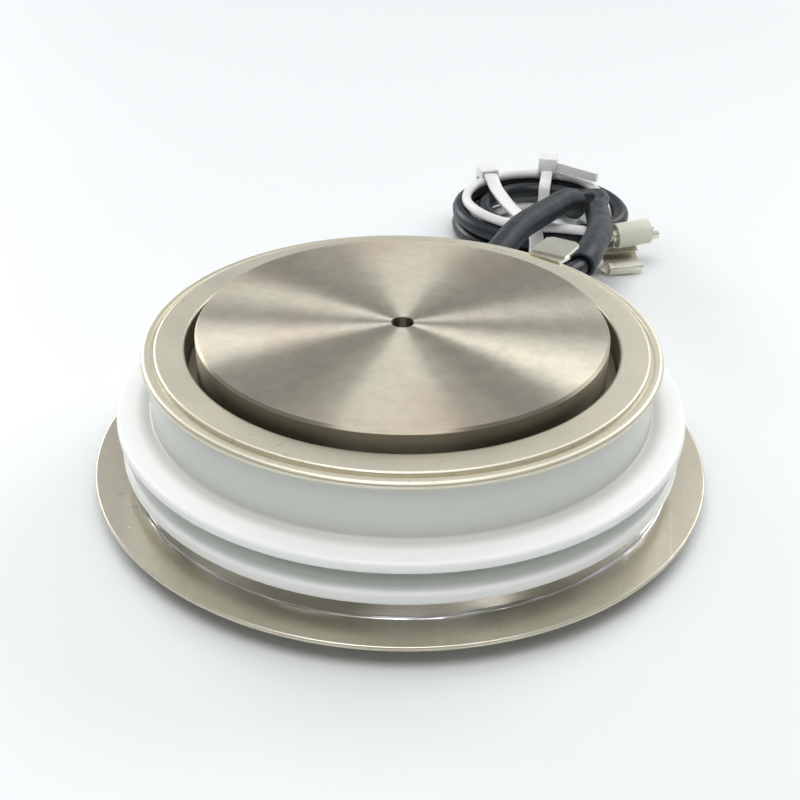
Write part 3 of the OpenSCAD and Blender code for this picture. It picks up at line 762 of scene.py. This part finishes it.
def joined(name, pieces):
    """Joins mesh objects into one."""
    bpy.ops.object.select_all(action="DESELECT")
    for piece in pieces:
        piece.select_set(True)
    bpy.context.view_layer.objects.active = pieces[0]
    bpy.ops.object.join()
    made = bpy.context.view_layer.objects.active
    made.name = name
    made.data.name = name
    return made


def coil_place(angle, offset=0.0):
    """The coil's middle on the table, turned about its axis and shifted sideways."""
    return (
        Matrix.Translation((COIL_X * MM, COIL_Y * MM, 0))
        @ Matrix.Rotation(math.radians(angle), 4, "Z")
        @ Matrix.Translation((0, offset * MM, 0))
    )


def make_wide_tie():
    """Strap pulled across the whole coil, over the strand that lies on top."""
    near = abs(WIDE_TIE_OFFSET) - WIDE_TIE_W / 2
    reach = math.sqrt(COIL_R ** 2 - near ** 2) + TIE_PLAY
    place = coil_place(WIDE_TIE_ANGLE, -WIDE_TIE_OFFSET)
    start = [(-reach, TIE_BASE), (reach, TIE_BASE), (reach, SHOULDER_Z)]
    corners = start + WIDE_TIE_OVER + [(-reach, SHOULDER_Z)]
    band = rounded_outline(corners, WIDE_TIE_BEND)
    strap = loop_band("strap", band, WIDE_TIE_W * MM, STRAP_T * MM, place)
    end = reach - HEAD_INSET
    box = ((end - HEAD_LENGTH, -HEAD_W / 2, WIDE_HEAD_Z[0]), (end, HEAD_W / 2, WIDE_HEAD_Z[1]))
    slot = ((end - HEAD_LENGTH, -WIDE_SLOT_HALF, WIDE_SLOT_Z[0]), (end, WIDE_SLOT_HALF, WIDE_SLOT_Z[1]))
    head = slotted_box("head", box, slot, 0, place, WIDE_HEAD_BEVEL)
    stub_low = (end + STUB_X[0], -STUB_HALF, STUB_Z[0])
    stub_high = (end + STUB_X[1], STUB_HALF, STUB_Z[1])
    stub = bevelled_box("stub", stub_low, stub_high, place, STUB_BEVEL)
    return joined("wide_tie_strap", [strap, head, stub])


def make_narrow_tie():
    """Strap round the coil's ring, with its head on top and its cut end beside the coil."""
    inner = math.sqrt((COIL_R - COIL_W) ** 2 - (NARROW_TIE_W / 2) ** 2) - TIE_PLAY
    outer = COIL_R + TIE_PLAY
    place = coil_place(NARROW_TIE_ANGLE)
    start = [(inner, TIE_BASE), (outer, TIE_BASE), (outer, SHOULDER_Z)]
    corners = start + NARROW_TIE_OVER + [(inner, NARROW_TIE_INSIDE_Z)]
    band = rounded_outline(corners, NARROW_TIE_BEND)
    strap = loop_band("strap", band, NARROW_TIE_W * MM, STRAP_T * MM, place)
    head_x = outer - HEAD_LENGTH - HEAD_INSET
    box = ((head_x, -HEAD_W / 2, NARROW_HEAD_Z[0]), (head_x + HEAD_LENGTH, HEAD_W / 2, NARROW_HEAD_Z[1]))
    slot = (
        (head_x + NARROW_SLOT_X[0], -HEAD_W / 2, NARROW_SLOT_Z[0]),
        (head_x + NARROW_SLOT_X[1], HEAD_W / 2, NARROW_SLOT_Z[1]),
    )
    head = slotted_box("head", box, slot, 1, place, NARROW_HEAD_BEVEL)
    tail_at = Vector((head_x + TAIL_AT[0], -HEAD_W / 2 + TAIL_AT[1], TAIL_AT[2])) * MM
    tail_place = place @ Matrix.Translation(tail_at) @ Matrix.Rotation(math.radians(TAIL_ANGLE), 4, "Z")
    tail = toothed_strip("tail", TAIL_LENGTH, TAIL_T, TAIL_W, tail_place)
    return joined("narrow_tie_strap", [strap, head, tail])


def light(name, at, size, power):
    """A rectangular area light that points at the housing's foot."""
    data = bpy.data.lights.new(name, "AREA")
    data.shape = "RECTANGLE"
    data.size = size[0]
    data.size_y = size[1]
    data.energy = power
    made = link(name, data)
    made.location = at
    made.rotation_euler = (-Vector(at)).to_track_quat("-Z", "Y").to_euler()


def make_floor():
    """A wide pale table top."""
    corners = [(-1, -1, 0), (1, -1, 0), (1, 1, 0), (-1, 1, 0)]
    floor = mesh_object("floor", [Vector(c) * FLOOR_HALF for c in corners], [(0, 1, 2, 3)], smooth=False)
    floor.location.z = -FLOOR_DROP
    made, tree, shader = new_material("table", roughness=0.55)
    cloud = noise_value(tree, object_place(tree), scale=6.0, detail=2.0)
    base = mixed(tree, cloud, FLOOR_DARK, FLOOR_LIGHT)
    feed(tree, shader, "Base Color", base)
    feed(tree, shader, "Emission Color", base)
    feed(tree, shader, "Emission Strength", beyond(tree, FLOOR_NEAR, FLOOR_FAR, (0.0, FLOOR_GLOW)))
    floor.data.materials.append(made)


def make_world():
    """Pale surroundings: darker in front of the object, and light along the horizon and behind it."""
    world = bpy.data.worlds.new("studio")
    bpy.context.scene.world = world
    world.use_nodes = True
    tree = world.node_tree
    sky = tree.nodes["Background"]
    way = add(tree, "SeparateXYZ", [(0, add(tree, "TexCoord").outputs["Generated"])])
    depth = mixed(tree, spread(tree, way.outputs["Y"], (-1.0, 1.0)), WORLD_FRONT, WORLD_BACK)
    horizon = spread(tree, way.outputs["Z"], HORIZON_BAND, (1.0, 0.0))
    feed(tree, sky, "Color", mixed(tree, horizon, depth, WORLD_HORIZON))
    sky.inputs["Strength"].default_value = 1.0


bpy.context.scene.view_settings.view_transform = "Standard"
make_camera()
make_floor()
make_world()
for lamp in LAMPS:
    light(*lamp)

face_look = turned_nickel()
rim_look = sheet_nickel("nickel_sheet", RIM_LIGHT, RIM_DARK, roughness=(0.38, 0.52))
flange_look = flange_nickel()
looks = {name: plain(name, **values) for name, values in PLAIN_LOOKS.items()}
for node in ("cathode_pole_piece", "anode_pole_piece"):
    dress(node, face_look)
for node in ("cathode_diaphragm", "cathode_rim_ring"):
    dress(node, rim_look)
for node in ("anode_collar_flange", "anode_diaphragm"):
    dress(node, flange_look)
for node, look in PLAIN_NODES.items():
    dress(node, looks[look])
dress("ceramic_housing", alumina())

gate_cord = make_lead("gate_cord", metres(GATE_ROUTE + wound(GATE_TURNS) + GATE_END), GATE_LEAD_R)
cathode_cord = make_lead(
    "cathode_cord", metres(CATHODE_ROUTE + wound(CATHODE_TURNS) + CATHODE_END), CATHODE_LEAD_R
)
gate_sleeve = make_sleeve(
    "gate_sleeve_skin", GATE_ROUTE[:GATE_SLEEVE_POINTS],
    GATE_SLEEVE_R, GATE_LEAD_R + SLEEVE_CLEARANCE, GATE_SLEEVE_SEED,
)
cathode_sleeve = make_sleeve(
    "cathode_sleeve_skin", CATHODE_ROUTE[CATHODE_SLEEVE_FIRST:CATHODE_SLEEVE_LAST + 1],
    CATHODE_SLEEVE_R, CATHODE_LEAD_R + SLEEVE_CLEARANCE, CATHODE_SLEEVE_SEED,
)
wide_tie = make_wide_tie()
narrow_tie = make_narrow_tie()

# Each piece of the scene with its material, its slot and the CAD nodes that it replaces
PIECES = [
    (gate_cord, "white_insulation", "white_insulation", ("gate_lead", "lead_coil")),
    (cathode_cord, "black_insulation", "black_insulation", ("cathode_lead",)),
    (gate_sleeve, "black_sleeve", "black_sleeve", ("gate_sleeve",)),
    (cathode_sleeve, "black_sleeve", "black_sleeve", ("cathode_sleeve",)),
    (wide_tie, "nylon", "white_nylon", ("wide_tie",)),
    (narrow_tie, "nylon", "white_nylon", ("narrow_tie",)),
]
for piece, look, slot, nodes in PIECES:
    piece.data.materials.clear()
    piece.data.materials.append(looks[look])
    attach(piece, "root")
    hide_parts(*nodes)
